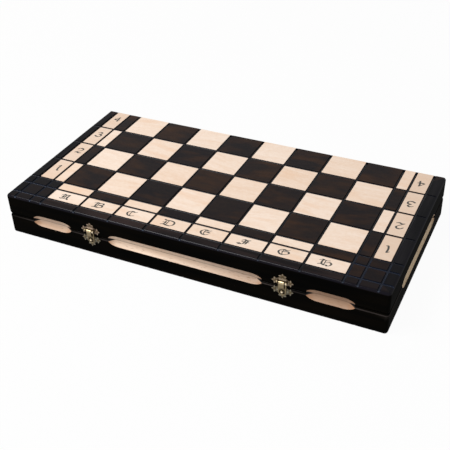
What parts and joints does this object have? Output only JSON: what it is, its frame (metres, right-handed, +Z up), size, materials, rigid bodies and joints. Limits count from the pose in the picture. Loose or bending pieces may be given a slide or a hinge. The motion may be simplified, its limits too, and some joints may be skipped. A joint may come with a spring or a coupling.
{
  "type": "folding chess case",
  "caption": "Closed folding wooden chess case: the board's two halves form a hinged box with grooved light and dark squares, milled finger coves and leaf-shaped brass latches.",
  "frame": {"origin": "middle of the underside of the closed case", "axes": "+Z up, +X along the front from file A to file H, +Y from the latched front to the hinged back"},
  "size_m": [0.4216, 0.2152, 0.0488],
  "materials": {
    "stained_wood": "satin black-brown stain over wood",
    "light_veneer": "satin varnish on pale wood",
    "dark_veneer": "satin varnish on dark stained wood",
    "plywood": "gloss black stain in the grooves",
    "felt": "matt felt",
    "antique_brass": "antique brass, worn bright on raised parts",
    "pin_steel": "dull steel"
  },
  "bodies": {
    "lower_case": {"lower_front_rail": "stained_wood", "lower_back_rail": "stained_wood", "lower_left_rail": "stained_wood", "lower_right_rail": "stained_wood", "lower_board_core": "plywood", "lower_light_cells": "light_veneer", "lower_dark_cells": "dark_veneer", "lower_lining": "felt", "lower_hinge_screws": "pin_steel", "lower_latch_nails": "antique_brass", "left_hinge_lower_leaf": "antique_brass", "left_hinge_pin": "pin_steel", "right_hinge_lower_leaf": "antique_brass", "right_hinge_pin": "pin_steel", "left_strike_plate": "antique_brass", "left_strike_stud": "antique_brass", "right_strike_plate": "antique_brass", "right_strike_stud": "antique_brass"},
    "upper_case": {"upper_front_rail": "stained_wood", "upper_back_rail": "stained_wood", "upper_left_rail": "stained_wood", "upper_right_rail": "stained_wood", "upper_board_core": "plywood", "upper_light_cells": "light_veneer", "upper_dark_cells": "dark_veneer", "upper_lining": "felt", "upper_hinge_screws": "pin_steel", "upper_latch_nails": "antique_brass", "left_hinge_upper_leaf": "antique_brass", "right_hinge_upper_leaf": "antique_brass", "left_latch_plate": "antique_brass", "left_hasp_pin": "pin_steel", "right_latch_plate": "antique_brass", "right_hasp_pin": "pin_steel"},
    "left_hasp": {"left_hasp": "antique_brass"},
    "right_hasp": {"right_hasp": "antique_brass"}
  },
  "joints": [
    {"name": "lid_hinge", "type": "hinge", "parent": "lower_case", "child": "upper_case", "pos_m": [0, 0.1045, 0.0244], "axis": [-1, 0, 0], "range_deg": [0, 180]},
    {"name": "left_hasp_swing", "type": "hinge", "parent": "upper_case", "child": "left_hasp", "pos_m": [-0.1053, -0.10675, 0.0313], "axis": [-1, 0, 0], "range_deg": [0, 150]},
    {"name": "right_hasp_swing", "type": "hinge", "parent": "upper_case", "child": "right_hasp", "pos_m": [0.1085, -0.10675, 0.0313], "axis": [-1, 0, 0], "range_deg": [0, 150]}
  ]
}
